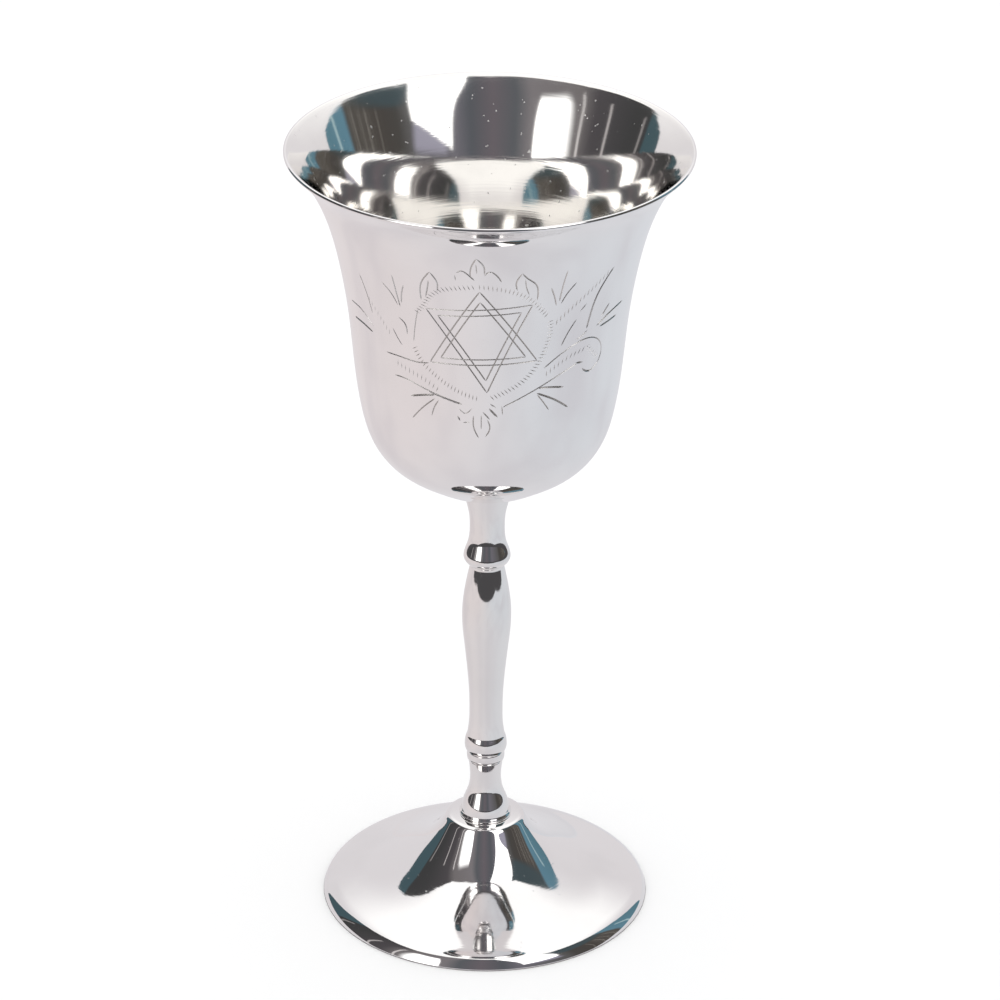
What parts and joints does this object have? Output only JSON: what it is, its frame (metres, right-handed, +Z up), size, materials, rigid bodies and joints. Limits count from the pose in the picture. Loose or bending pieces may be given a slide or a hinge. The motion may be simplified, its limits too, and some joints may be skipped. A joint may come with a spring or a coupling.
{
  "type": "kiddush cup",
  "caption": "Stemmed goblet for wine: flared, hollow bowl engraved with a six-pointed star and sprigs, on a turned baluster stem and a wide round hollow foot.",
  "frame": {"origin": "on the table surface at the cup's axis, the centre of the ring that the foot stands on", "axes": "+Z up along the cup's axis, -Y towards the engraved front of the bowl"},
  "size_m": [0.0796, 0.0796, 0.165],
  "materials": {
    "silver_foot": "silver plate on spun brass, polished to a mirror",
    "silver_stem": "silver plate on turned brass, polished to a mirror",
    "silver_bowl": "silver plate on spun brass, polished to a mirror, with bright-cut engraving and faint spinning lines inside"
  },
  "bodies": {
    "root": {"foot": "silver_foot", "stem": "silver_stem", "bowl": "silver_bowl"}
  },
  "joints": []
}
